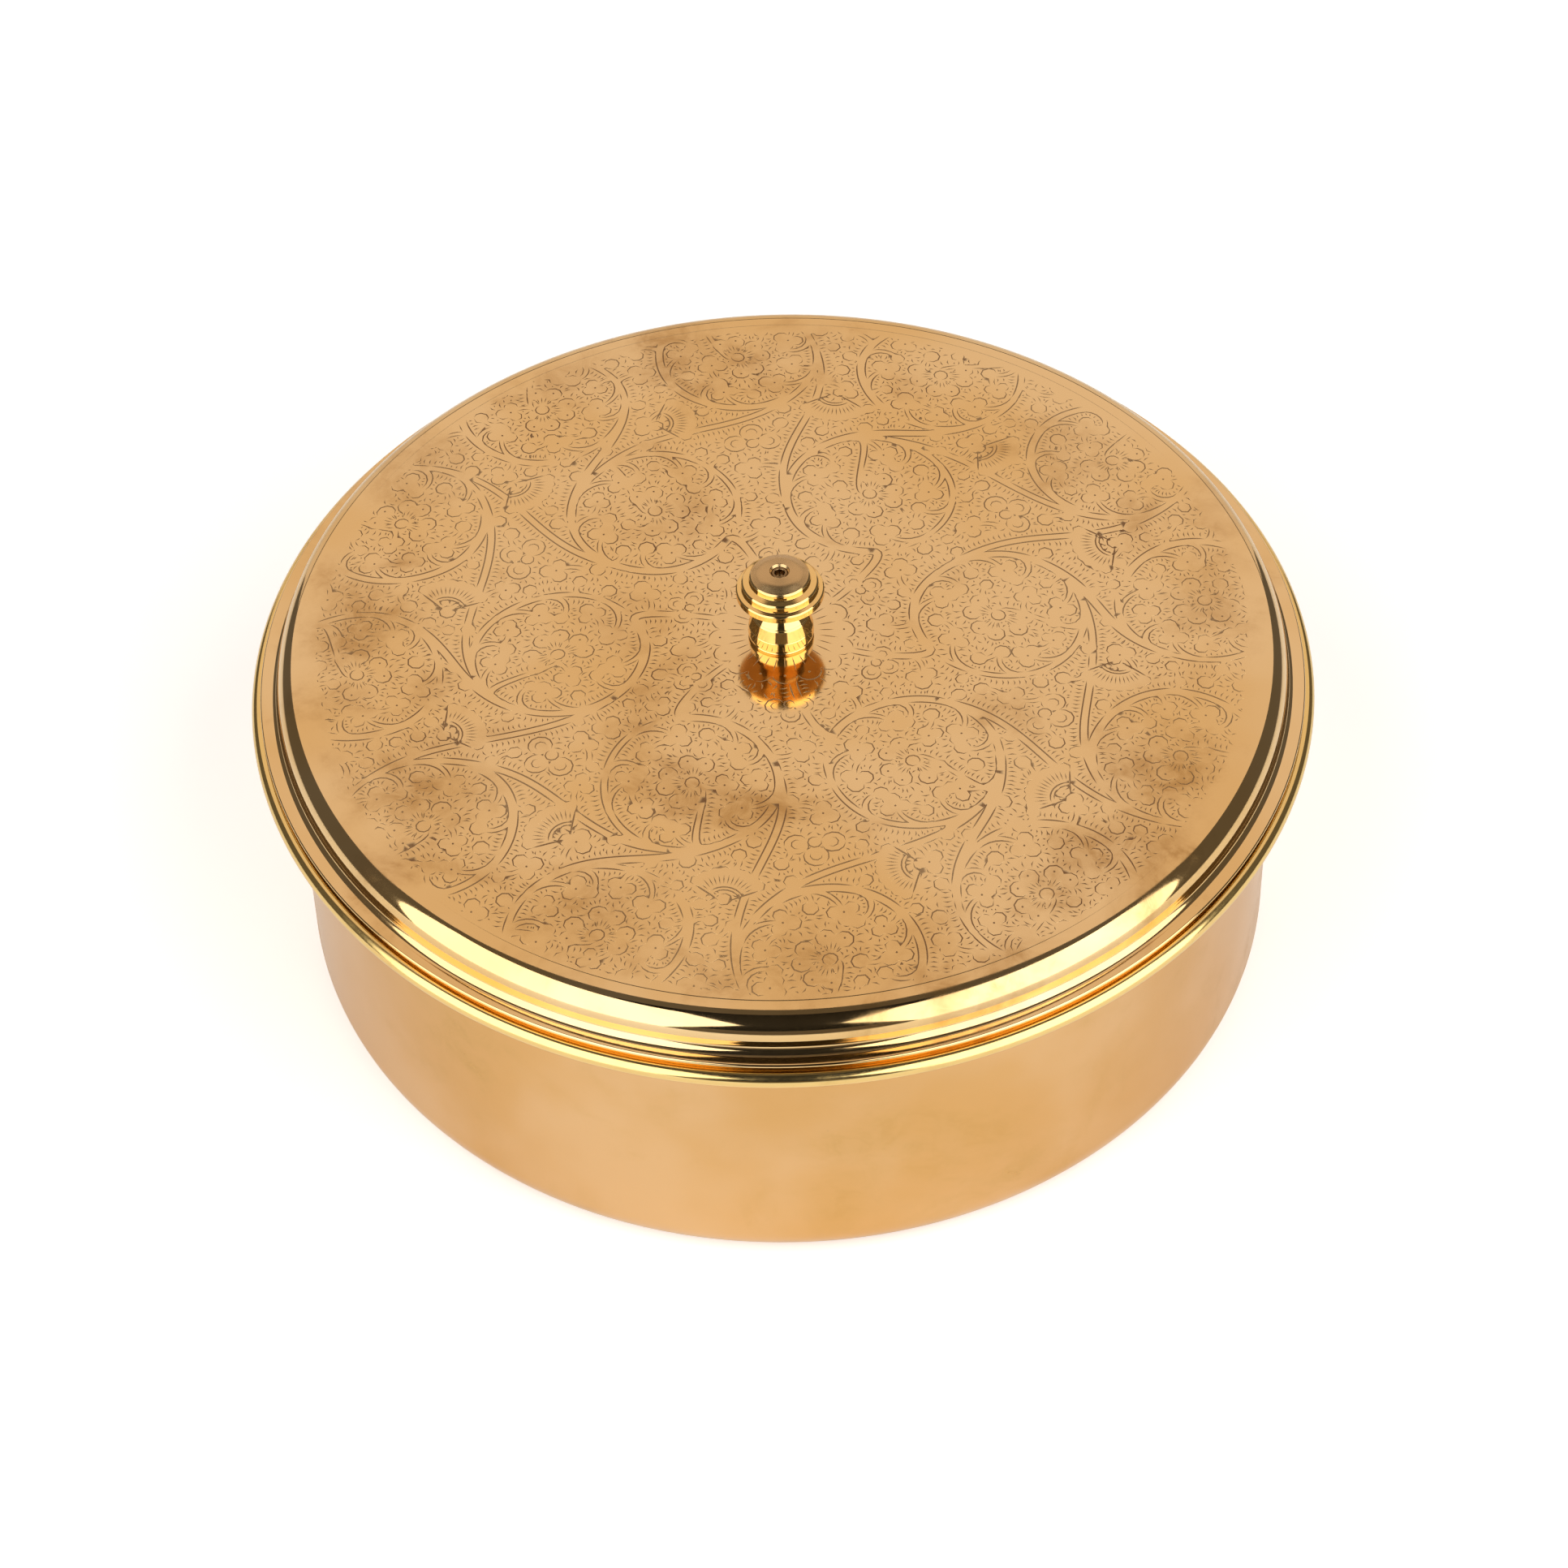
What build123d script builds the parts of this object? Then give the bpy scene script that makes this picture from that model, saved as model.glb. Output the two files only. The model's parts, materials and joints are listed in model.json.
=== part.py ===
from build123d import *
import math
import os

# A round brass spice box: a spun box with a rolled rim, a stepped lid with a turned knob,
# seven spice bowls inside and one small spoon. Millimetres, +Z up.
# The origin is the centre of the box's underside.

# Driving dimensions
box_diameter = 216.0        # across the rolled rim
box_height = 65.2           # underside to the top of the rim
lid_rise = 6.9              # lid flange to the edge of the lid's top
lid_crown = 1.9             # the middle of the lid stands this much above that edge
knob_height = 17.5          # lid top to knob top
sheet = 0.9                 # spun sheet of box and lid
bowl_sheet = 0.8
bowl_height = 42.0
bowl_count = 6              # bowls in the ring round the centre one
seat_gap = 0.02             # rest clearance where a loose piece stands on another
slip_gap = 0.4              # side clearance of the lid in the box mouth

# Box
rim_radius = box_diameter / 2
rim_roll = 1.7              # radius of the rolled rim
rim_overhang = 7.6          # rim proud of the wall
wall_radius = rim_radius - rim_overhang
inner_radius = wall_radius - sheet
base_rounding = 8.0
mouth_rounding = 2.5

# Lid
collar_sheet = 0.75
collar_depth = 10.0         # collar below the rim
collar_radius = inner_radius - slip_gap
collar_edge = rim_radius - 3.0
lid_edge = rim_radius - 2.0
lid_wall = rim_radius - 5.7
shoulder_rounding = 4.8
foot_rounding = 1.7
flange_low = box_height + seat_gap + collar_sheet
flange_top = flange_low + sheet
lid_shoulder = flange_top + lid_rise
lid_top = lid_shoulder + lid_crown
lid_under = lid_top - sheet
crown_bend = (lid_wall - shoulder_rounding) / 2
crown_rounding = 0.85 * crown_bend / math.tan(math.atan2(lid_crown, lid_wall - crown_bend) / 2)

# Knob and its rivet
shank_radius = 1.6
bore_radius = shank_radius + 0.05
lid_hole = shank_radius + 0.1
washer_radius = 5.0
washer_thickness = 0.8
head_radius = 3.2
head_height = 1.4
rivet_recess = 1.0          # drilled end of the shank, seen in the knob's top
recess_depth = 1.6

# Bowls
bowl_roll = 1.1
bowl_wall = 30.8
bowl_rounding = 9.0
bowl_base = sheet + seat_gap
ring_radius = 65.6          # box axis to the axis of a bowl in the ring
ring_start = 30.0           # angle of the first bowl in the ring

# Spoon
scoop_sphere = 11.0
scoop_depth = 5.5
spoon_sheet = 0.9
handle_length = 68.0        # scoop centre to handle end
handle_root = 8.8
root_width = 4.6
end_width = 6.4
spoon_tilt = 38.0
spoon_shift = -15.5         # scoop centre from the bowl axis
scoop_clearance = 0.3


def turned(*corners):
    """Solid turned about Z from a closed section; each corner is (radius, height, rounding)."""
    points = [(radius, height) for radius, height, _ in corners]
    roundings = [rounding for *_, rounding in corners]
    outline = FilletPolyline(*points, radius=roundings, close=True)
    return revolve(Plane.XZ * make_face(outline.edges()), Axis.Z)


def rolled_vessel(roll_centre, roll_radius, thickness, roll_start, corners):
    """Spun vessel whose sheet runs tangent into a rolled rim.

    The roll leaves one face of the sheet at roll_start and closes on the other face.
    The corners run from there, round the outside and back up the inside.
    """
    opening = math.degrees(math.acos((roll_radius - thickness) / roll_radius))
    roll = CenterArc(roll_centre, roll_radius, roll_start, opening - 360)
    points = [(radius, height) for radius, height, _ in corners]
    roundings = [rounding for *_, rounding in corners]
    sheet_line = FilletPolyline(roll @ 1, *points, roll @ 0, radius=roundings)
    return revolve(Plane.XZ * make_face(roll.edges() + sheet_line.edges()), Axis.Z)


def box_shell():
    """Straight-sided box whose wall flares to a flat ledge and a rolled rim."""
    ledge_low = box_height - sheet
    corners = [
        (wall_radius, ledge_low, mouth_rounding - sheet),
        (wall_radius, 0, base_rounding),
        (0, 0, 0),
        (0, sheet, 0),
        (inner_radius, sheet, base_rounding - sheet),
        (inner_radius, box_height, mouth_rounding),
    ]
    roll_centre = (rim_radius - rim_roll, box_height - rim_roll)
    return rolled_vessel(roll_centre, rim_roll, sheet, 90, corners)


def lid_shell():
    """Slightly crowned lid top, rounded shoulder, short wall and an outward flange."""
    edge_rounding = sheet * 0.45
    return turned(
        (lid_hole, lid_top, 0),
        (crown_bend, lid_top, crown_rounding),
        (lid_wall, lid_shoulder, shoulder_rounding),
        (lid_wall, flange_top, foot_rounding),
        (lid_edge, flange_top, edge_rounding),
        (lid_edge, flange_low, edge_rounding),
        (lid_wall - sheet, flange_low, foot_rounding + sheet),
        (lid_wall - sheet, lid_shoulder - sheet, shoulder_rounding - sheet),
        (crown_bend, lid_under, crown_rounding),
        (lid_hole, lid_under, 0),
    )


def lid_collar():
    """Ring soldered under the flange: it rests on the box's ledge and centres the lid."""
    seat = box_height + seat_gap
    bend = 1.5
    skirt_inner = collar_radius - collar_sheet
    skirt_low = box_height - collar_depth
    return turned(
        (skirt_inner, skirt_low, 0),
        (collar_radius, skirt_low, 0),
        (collar_radius, seat, bend),
        (collar_edge, seat, 0),
        (collar_edge, flange_low, 0),
        (skirt_inner, flange_low, bend + collar_sheet),
    )


def knob():
    """Turned knob: barrel, narrow neck and a cap in three steps. Heights are above the lid."""
    profile = [
        (bore_radius, 0, 0),
        (6.5, 0, 0),
        (6.7, 0.8, 0.4),
        (6.45, 3.1, 0.2),
        (5.6, 5.8, 0.8),
        (4.3, 7.6, 1.0),
        (4.2, 10.2, 0.6),
        (8.6, 11.3, 0.3),
        (8.9, 12.8, 0.3),
        (7.8, 13.3, 0),
        (7.6, 14.7, 0.4),
        (6.2, 15.2, 0),
        (6.0, 16.3, 0.4),
        (4.2, 17.1, 3.0),
        (2.1, knob_height, 0.3),
        (bore_radius, knob_height - 0.5, 0),
    ]
    return turned(*[(radius, lid_top + height, rounding) for radius, height, rounding in profile])


def knob_rivet():
    """Rivet that holds the knob: head under the lid, drilled end in the knob's top."""
    head_top = lid_under - washer_thickness
    shank_top = lid_top + knob_height - 0.5
    return turned(
        (0, head_top - head_height, 0),
        (head_radius, head_top - head_height, head_height * 0.7),
        (head_radius, head_top, 0),
        (shank_radius, head_top, 0),
        (shank_radius, shank_top, 0.2),
        (rivet_recess, shank_top, 0.2),
        (rivet_recess, shank_top - recess_depth, 0),
        (0, shank_top - recess_depth, 0),
    )


def knob_washer():
    """Flat washer between the rivet's head and the lid."""
    washer_low = lid_under - washer_thickness
    return turned(
        (lid_hole, washer_low, 0),
        (washer_radius, washer_low, 0.2),
        (washer_radius, lid_under, 0),
        (lid_hole, lid_under, 0),
    )


def spice_bowl():
    """Straight cup with a round bottom edge and a small rolled rim, standing on the box floor."""
    cup_inner = bowl_wall - bowl_sheet
    rim = bowl_base + bowl_height
    corners = [
        (bowl_wall, bowl_base, bowl_rounding),
        (0, bowl_base, 0),
        (0, bowl_base + bowl_sheet, 0),
        (cup_inner, bowl_base + bowl_sheet, bowl_rounding - bowl_sheet),
    ]
    return rolled_vessel((cup_inner + bowl_roll, rim - bowl_roll), bowl_roll, bowl_sheet, 180, corners)


def spice_spoon():
    """Spoon with a round scoop, leaning in the centre bowl with its handle over the rim."""
    ball = Sphere(scoop_sphere) - Sphere(scoop_sphere - spoon_sheet)
    below_rim = Pos(0, 0, -scoop_sphere) * Box(4 * scoop_sphere, 4 * scoop_sphere, 2 * scoop_sphere)
    scoop = Pos(0, 0, scoop_sphere - scoop_depth) * ball & below_rim
    handle_outline = FilletPolyline(
        (handle_root, -root_width / 2),
        (handle_length, -end_width / 2),
        (handle_length, end_width / 2),
        (handle_root, root_width / 2),
        radius=[0, end_width * 0.45, end_width * 0.45, 0],
        close=True,
    )
    handle = Pos(0, 0, -spoon_sheet) * extrude(make_face(handle_outline.edges()), spoon_sheet)
    sphere_rise = (scoop_sphere - scoop_depth) * math.cos(math.radians(spoon_tilt))
    scoop_height = bowl_base + bowl_sheet + scoop_clearance + scoop_sphere - sphere_rise
    return Pos(spoon_shift, 0, scoop_height) * Rot(0, -spoon_tilt, 0) * (scoop + handle)


os.makedirs("parts", exist_ok=True)

single_pieces = [box_shell, lid_shell, lid_collar, knob, knob_rivet, knob_washer, spice_spoon]
for piece in single_pieces:
    export_step(piece(), f"parts/{piece.__name__}.step")

bowl = spice_bowl()
export_step(bowl, "parts/bowl_centre.step")
for number in range(bowl_count):
    angle = math.radians(ring_start + number * 360 / bowl_count)
    place = Pos(ring_radius * math.cos(angle), ring_radius * math.sin(angle), 0)
    export_step(place * bowl, f"parts/bowl_{number + 1}.step")
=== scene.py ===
import json
import math

import bpy
import numpy as np
from mathutils import Matrix, Vector
from mathutils.geometry import delaunay_2d_cdt


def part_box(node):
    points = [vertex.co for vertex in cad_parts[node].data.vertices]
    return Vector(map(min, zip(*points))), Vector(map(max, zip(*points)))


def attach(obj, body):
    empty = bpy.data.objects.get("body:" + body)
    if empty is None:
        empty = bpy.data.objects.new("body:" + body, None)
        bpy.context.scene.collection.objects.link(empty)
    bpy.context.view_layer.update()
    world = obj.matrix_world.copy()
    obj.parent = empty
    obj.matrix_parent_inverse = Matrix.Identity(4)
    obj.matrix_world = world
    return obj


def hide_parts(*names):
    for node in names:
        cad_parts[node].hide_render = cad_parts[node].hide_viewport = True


# A round brass spice box with an engraved lid and a turned knob. Metres, +Z up.
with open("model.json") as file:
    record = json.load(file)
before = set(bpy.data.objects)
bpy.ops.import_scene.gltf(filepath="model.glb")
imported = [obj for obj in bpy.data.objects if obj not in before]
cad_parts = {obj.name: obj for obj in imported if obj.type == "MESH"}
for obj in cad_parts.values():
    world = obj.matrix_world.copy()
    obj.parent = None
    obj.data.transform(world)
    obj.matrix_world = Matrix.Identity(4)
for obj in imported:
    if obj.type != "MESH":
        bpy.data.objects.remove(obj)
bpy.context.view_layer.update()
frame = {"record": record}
mm = 0.001

boxLow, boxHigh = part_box("box_shell")
lidLow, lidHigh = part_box("lid_shell")
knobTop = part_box("knob")[1].z
rimRadius = boxHigh.x
print("spice box: frame loaded, rim radius", round(rimRadius / mm, 2), "mm")


def roundedPath(corners, closed, stepsPerQuarter=12, guard=0.12 * mm):
    # Each corner is (radius, height, rounding). The path runs straight between corners and, where a
    # corner has a rounding, follows the arc tangent to both sides: it starts rounding / tan(half angle)
    # from the corner and its centre is rounding / sin(half angle) away along the bisector.
    # A guard point near each end of a straight keeps its shading flat.
    spots = np.array([corner[:2] for corner in corners], float)
    pieces = []
    for index, corner in enumerate(corners):
        inside = closed or 0 < index < len(corners) - 1
        if corner[2] <= 0 or not inside:
            pieces.append(spots[index][None])
            continue
        back = spots[index - 1] - spots[index]
        ahead = spots[(index + 1) % len(corners)] - spots[index]
        back /= np.linalg.norm(back)
        ahead /= np.linalg.norm(ahead)
        half = math.acos(np.clip(back @ ahead, -1, 1)) / 2
        bisector = (back + ahead) / np.linalg.norm(back + ahead)
        centre = spots[index] + bisector * corner[2] / math.sin(half)
        first = spots[index] + back * corner[2] / math.tan(half) - centre
        last = spots[index] + ahead * corner[2] / math.tan(half) - centre
        sweep = math.atan2(first[0] * last[1] - first[1] * last[0], first @ last)
        steps = max(3, math.ceil(abs(sweep) / (math.pi / 2) * stepsPerQuarter))
        turn = math.atan2(first[1], first[0]) + np.linspace(0, sweep, steps + 1)
        arc = np.stack([np.cos(turn), np.sin(turn)], 1) * corner[2]
        pieces.append(centre + arc)
    path = []
    following = pieces[1:] + (pieces[:1] if closed else [])
    for index, piece in enumerate(pieces):
        path.append(piece)
        if index < len(following):
            start, end = piece[-1], following[index][0]
            length = np.linalg.norm(end - start)
            if length > 5 * guard:
                inset = (end - start) * guard / length
                path.append(np.stack([start + inset, end - inset]))
    path = np.concatenate(path)
    keep = np.linalg.norm(np.diff(path, axis=0, prepend=path[:1] - 1), axis=1) > 1e-7
    return path[keep]


def rolledPath(rollCentre, rollRadius, sheet, rollStart, corners):
    # The sheet runs tangent into a roll: the arc starts at rollStart degrees, goes clockwise and stops
    # where it meets the sheet's other face, acos((roll - sheet) / roll) short of a full turn.
    opening = math.acos((rollRadius - sheet) / rollRadius)
    turn = math.radians(rollStart) + np.linspace(0, opening - 2 * math.pi, 42)
    roll = np.array(rollCentre) + rollRadius * np.stack([np.cos(turn), np.sin(turn)], 1)
    ends = [(*roll[-1], 0)] + list(corners) + [(*roll[0], 0)]
    return np.concatenate([roll[1:], roundedPath(ends, False)[1:]])


def putMesh(name, points, faces, smooth=True, attributes=None):
    # Puts arrays into a new mesh. The signed volume, a sixth of the sum of the triple products of the
    # triangles of each face, tells whether the faces point outwards; if not they are turned round.
    volume = 0.0
    for group in faces:
        for corner in range(1, group.shape[1] - 1):
            a, b, c = points[group[:, 0]], points[group[:, corner]], points[group[:, corner + 1]]
            volume += np.einsum("ij,ij->", a, np.cross(b, c))
    if volume < 0:
        faces = [group[:, ::-1] for group in faces]
    mesh = bpy.data.meshes.new(name)
    mesh.vertices.add(len(points))
    mesh.vertices.foreach_set("co", points.astype(np.float32).ravel())
    loops = np.concatenate([group.ravel() for group in faces])
    sizes = np.concatenate([np.full(len(group), group.shape[1]) for group in faces])
    mesh.loops.add(len(loops))
    mesh.loops.foreach_set("vertex_index", loops.astype(np.int32))
    mesh.polygons.add(len(sizes))
    mesh.polygons.foreach_set("loop_start", np.concatenate([[0], np.cumsum(sizes)[:-1]]).astype(np.int32))
    shading = np.full(len(sizes), smooth) if isinstance(smooth, bool) else smooth
    mesh.polygons.foreach_set("use_smooth", shading)
    for label, values in (attributes or {}).items():
        kind = "FLOAT" if values.ndim == 1 else "FLOAT_VECTOR"
        field = "value" if values.ndim == 1 else "vector"
        mesh.attributes.new(label, kind, "POINT").data.foreach_set(field, values.astype(np.float32).ravel())
    mesh.update(calc_edges=True)
    mesh.validate()
    piece = bpy.data.objects.new(name, mesh)
    bpy.context.scene.collection.objects.link(piece)
    return piece


def turnedGrid(profile, turns, closed, centre=(0, 0)):
    # Point (i, j) is profile point i carried to angle j: x = radius cos angle, y = radius sin angle,
    # z = height. A profile point on the axis is one point, with triangles round it.
    angles = np.arange(turns) * 2 * math.pi / turns
    radius, height = profile[:, 0], profile[:, 1]
    onAxis = radius < 1e-7
    counts = np.where(onAxis, 1, turns)
    starts = np.concatenate([[0], np.cumsum(counts)[:-1]])
    ids = starts[:, None] + np.where(onAxis[:, None], 0, np.arange(turns)[None])
    points = np.zeros((counts.sum(), 3))
    points[ids, 0] = centre[0] + radius[:, None] * np.cos(angles)
    points[ids, 1] = centre[1] + radius[:, None] * np.sin(angles)
    points[ids, 2] = height[:, None]
    turned = np.zeros((counts.sum(), 3))
    turned[ids, 0] = radius[:, None]
    turned[ids, 1] = height[:, None]
    rows = np.arange(len(profile)) if closed else np.arange(len(profile) - 1)
    nextRow = (rows + 1) % len(profile)
    here, there = ids[rows], ids[nextRow]
    quads = np.stack([here, np.roll(here, -1, 1), np.roll(there, -1, 1), there], -1)
    poleHere, poleThere = onAxis[rows], onAxis[nextRow]
    plain = quads[~poleHere & ~poleThere].reshape(-1, 4)
    fans = [quads[poleHere & ~poleThere][:, :, [0, 2, 3]].reshape(-1, 3),
            quads[poleThere & ~poleHere][:, :, [0, 1, 2]].reshape(-1, 3)]
    return points, [group for group in [plain] + fans if len(group)], {"turned": turned}


def turnedPiece(name, profile, turns, closed=True, centre=(0, 0)):
    points, faces, attributes = turnedGrid(profile, turns, closed, centre)
    return putMesh(name, points, faces, True, attributes)


def addNode(tree, kind, inputs=None, **settings):
    node = tree.nodes.new(kind)
    for key, value in settings.items():
        setattr(node, key, value)
    for key, value in (inputs or {}).items():
        if isinstance(value, bpy.types.NodeSocket):
            tree.links.new(value, node.inputs[key])
        else:
            node.inputs[key].default_value = value
    return node


def noiseOf(tree, vector, scale, detail=4.0, roughness=0.55, distortion=0.0):
    wanted = {"Vector": vector, "Scale": scale, "Detail": detail}
    wanted.update({"Roughness": roughness, "Distortion": distortion})
    return addNode(tree, "ShaderNodeTexNoise", wanted).outputs["Fac"]


def rangeOf(tree, value, low, high, newLow=0.0, newHigh=1.0):
    wanted = {"Value": value, "From Min": low, "From Max": high, "To Min": newLow, "To Max": newHigh}
    return addNode(tree, "ShaderNodeMapRange", wanted, interpolation_type="SMOOTHSTEP").outputs["Result"]


def mathOf(tree, operation, first, second):
    node = addNode(tree, "ShaderNodeMath", {0: first, 1: second}, operation=operation)
    return node.outputs["Value"]


def plusPart(tree, total, value, share):
    return mathOf(tree, "ADD", total, mathOf(tree, "MULTIPLY", value, share))


def vectorOf(tree, operation, *values):
    return addNode(tree, "ShaderNodeVectorMath", dict(enumerate(values)), operation=operation)


def mixColour(tree, factor, first, second):
    node = addNode(tree, "ShaderNodeMix", data_type="RGBA")
    for socket, value in ((node.inputs[0], factor), (node.inputs[6], first), (node.inputs[7], second)):
        if isinstance(value, bpy.types.NodeSocket):
            tree.links.new(value, socket)
        else:
            socket.default_value = value
    return node.outputs[2]


def patchesOf(tree, spot, patches):
    # Tarnished patches: each is full in its middle and fades to nothing at its size. The place that they
    # are measured from is shaken by noise, so that their outlines are ragged.
    wanted = {"Vector": spot, "Scale": tarnish["shakeScale"], "Detail": 5.0, "Roughness": 0.65}
    shake = addNode(tree, "ShaderNodeTexNoise", wanted).outputs["Color"]
    centred = vectorOf(tree, "SUBTRACT", shake, (0.5, 0.5, 0.5)).outputs["Vector"]
    reach = (tarnish["shake"], tarnish["shake"], 0.0)
    moved = vectorOf(tree, "MULTIPLY_ADD", centred, reach, spot).outputs["Vector"]
    flat = vectorOf(tree, "MULTIPLY", moved, (1, 1, 0)).outputs["Vector"]
    total = 0.0
    for x, y, size, weight in patches:
        away = vectorOf(tree, "DISTANCE", flat, (x * mm, y * mm, 0)).outputs["Value"]
        patch = rangeOf(tree, away, size * mm, size * 0.1 * mm, 0.0, weight)
        total = mathOf(tree, "MAXIMUM", patch, total)
    return total


def brassMaterial(name, look):
    # Clean brass and warmer brass drift into each other, bands at stated heights take a set colour as
    # painted light (a painted highlight on the box's rim, painted shade and tarnish under the knob's cap, a
    # painted dark reflection on the knob's top), tarnish comes in soft blotches, and dust specks are rare
    # dark dots. Fine lines left by the lathe follow the attribute "turned" (radius, height). Grooves marked
    # by "cut" hold dull brown grime.
    material = bpy.data.materials.new(name)
    material.use_nodes = True
    tree = material.node_tree
    shader = tree.nodes["Principled BSDF"]
    spot = addNode(tree, "ShaderNodeTexCoord").outputs["Object"]
    drift = rangeOf(tree, noiseOf(tree, spot, look["driftScale"], 3, 0.5), 0.35, 0.65)
    cloud = noiseOf(tree, spot, look["blotchScale"], 5, 0.6, 0.4)
    blotch = rangeOf(tree, cloud, look["blotchStart"], look["blotchStart"] + 0.2)
    grime = rangeOf(tree, noiseOf(tree, spot, look["blotchScale"] * 5, 6, 0.7, 0.8), 0.35, 0.7)
    if look.get("patches"):
        blotch = mathOf(tree, "MAXIMUM", blotch, patchesOf(tree, spot, look["patches"]))
    stain = mathOf(tree, "MULTIPLY", blotch, rangeOf(tree, grime, 0.0, 1.0, 0.45, 1.0))
    colour = mixColour(tree, drift, look["clean"], look["warm"])
    height = addNode(tree, "ShaderNodeSeparateXYZ", {"Vector": spot}).outputs["Z"]
    bandRoughness = 0.0
    # Each band mixes in a set colour: painted highlight on the box's rim, painted shade and tarnish under
    # the knob's cap, painted dark reflection on its top.
    for low, high, shade, rough in look["paintedLightAndTarnishBands"]:
        above = rangeOf(tree, height, low - 0.3 * mm, low + 0.3 * mm)
        band = mathOf(tree, "MULTIPLY", above, rangeOf(tree, height, high + 0.3 * mm, high - 0.3 * mm))
        colour = mixColour(tree, band, colour, shade)
        bandRoughness = plusPart(tree, bandRoughness, band, rough)
    colour = mixColour(tree, mathOf(tree, "MULTIPLY", stain, look["stainAmount"]), colour, look["stain"])
    specks = addNode(tree, "ShaderNodeTexVoronoi", {"Vector": spot, "Scale": look["speckScale"]})
    speck = rangeOf(tree, specks.outputs["Distance"], look["speckSize"], 0.0)
    rare = rangeOf(tree, noiseOf(tree, spot, look["speckRarity"], 1), 0.62, 0.66)
    speck = mathOf(tree, "MULTIPLY", speck, rare)
    colour = mixColour(tree, mathOf(tree, "MULTIPLY", speck, 0.8), colour, look["dirt"])
    satin = noiseOf(tree, spot, look["satinScale"], 3, 0.6)
    roughness = rangeOf(tree, satin, 0.2, 0.8, look["roughness"] * 0.8, look["roughness"] * 1.2)
    roughness = plusPart(tree, roughness, stain, look["stainRoughness"])
    roughness = mathOf(tree, "ADD", roughness, bandRoughness)
    if look.get("plateRoughness"):
        plate = addNode(tree, "ShaderNodeAttribute", attribute_name="plate").outputs["Fac"]
        roughness = plusPart(tree, roughness, plate, look["plateRoughness"])
    heightMap = mathOf(tree, "MULTIPLY", noiseOf(tree, spot, look["waveScale"], 2), look["waveHeight"])
    if look.get("latheHeight"):
        lathe = addNode(tree, "ShaderNodeAttribute", attribute_name="turned").outputs["Vector"]
        lines = noiseOf(tree, lathe, look["latheScale"], 4, 0.7)
        heightMap = plusPart(tree, heightMap, lines, look["latheHeight"])
    if look.get("scratchHeight"):
        turned = {"Vector": spot, "Rotation": (0, 0, look["scratchAngle"]), "Scale": look["scratchScale"]}
        brushed = addNode(tree, "ShaderNodeMapping", turned).outputs["Vector"]
        marks = noiseOf(tree, brushed, 1.0, 2)
        heightMap = plusPart(tree, heightMap, marks, look["scratchHeight"])
    bump = addNode(tree, "ShaderNodeBump", {"Height": heightMap, "Strength": 1.0, "Distance": 1.0})
    if look.get("cut"):
        depth = addNode(tree, "ShaderNodeAttribute", attribute_name="cut").outputs["Fac"]
        dark = rangeOf(tree, depth, 0.0, 0.3)
        uneven = rangeOf(tree, noiseOf(tree, spot, 28.0, 2), 0.3, 0.7, look["cutFaint"], look["cutStrong"])
        dark = mathOf(tree, "MULTIPLY", dark, uneven)
        colour = mixColour(tree, dark, colour, look["cut"])
        roughness = plusPart(tree, roughness, dark, look["cutRoughness"])
        bare = mathOf(tree, "SUBTRACT", 1.0, mathOf(tree, "MULTIPLY", dark, look["cutGrime"]))
        tree.links.new(bare, shader.inputs["Metallic"])
    tree.links.new(colour, shader.inputs["Base Color"])
    tree.links.new(roughness, shader.inputs["Roughness"])
    tree.links.new(bump.outputs["Normal"], shader.inputs["Normal"])
    shader.inputs["Metallic"].default_value = 1.0
    shader.inputs["Specular IOR Level"].default_value = 0.2
    return material


baseLook = {
    "clean": (0.90, 0.60, 0.26, 1),
    "warm": (0.86, 0.53, 0.20, 1),
    "stain": (0.42, 0.22, 0.06, 1),
    "dirt": (0.06, 0.04, 0.02, 1),
    "driftScale": 22.0,
    "blotchScale": 26.0,
    "blotchStart": 0.52,
    "stainAmount": 0.6,
    "stainRoughness": 0.15,
    "speckScale": 220.0,
    "speckSize": 0.06,
    "speckRarity": 160.0,
    "satinScale": 900.0,
    "scratchScale": (60.0, 2600.0, 60.0),
    "roughness": 0.10,
    "waveScale": 30.0,
    "waveHeight": 0.00002,
    "paintedLightAndTarnishBands": (),                    # low, high, colour, added roughness
}


tarnish = {
    "shakeScale": 55.0,
    "shake": 0.045,
    # patches on the lid: x, y, size in mm, strength
    "lid": [
        (-88, 10, 17, 0.9), (-73, -37, 20, 0.9), (-23, 85, 17, 0.9), (-2, 82, 15, 0.7),
        (-21, 72, 9, 0.7), (60, 51, 15, 0.6), (87, 7, 15, 0.6), (75, -41, 18, 0.9),
        (64, -59, 17, 0.9), (6, -86, 18, 0.8), (-38, -75, 17, 0.7), (-78, 54, 16, 0.6),
        (-51, -25, 10, 0.4), (51, -69, 14, 0.7), (44, -26, 11, 0.5), (-14, -88, 12, 0.6),
        (-44, 78, 14, 0.5), (-90, -14, 12, 0.5), (30, -82, 13, 0.5), (88, 30, 12, 0.5),
    ],
}


def boxBrass():
    # Painted highlight: the band over the rolled rim is a lighter, yellower brass.
    look = dict(baseLook, clean=(0.78, 0.51, 0.25, 1), warm=(0.72, 0.43, 0.16, 1), roughness=0.13,
                paintedLightAndTarnishBands=[(boxHigh.z - 3.6 * mm, boxHigh.z + 1 * mm, (0.86, 0.63, 0.25, 1), 0.0)],
                stain=(0.60, 0.36, 0.10, 1), stainAmount=0.5, blotchStart=0.5,
                latheHeight=0.0000015, latheScale=2500.0)
    return brassMaterial("boxBrass", look)


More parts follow.
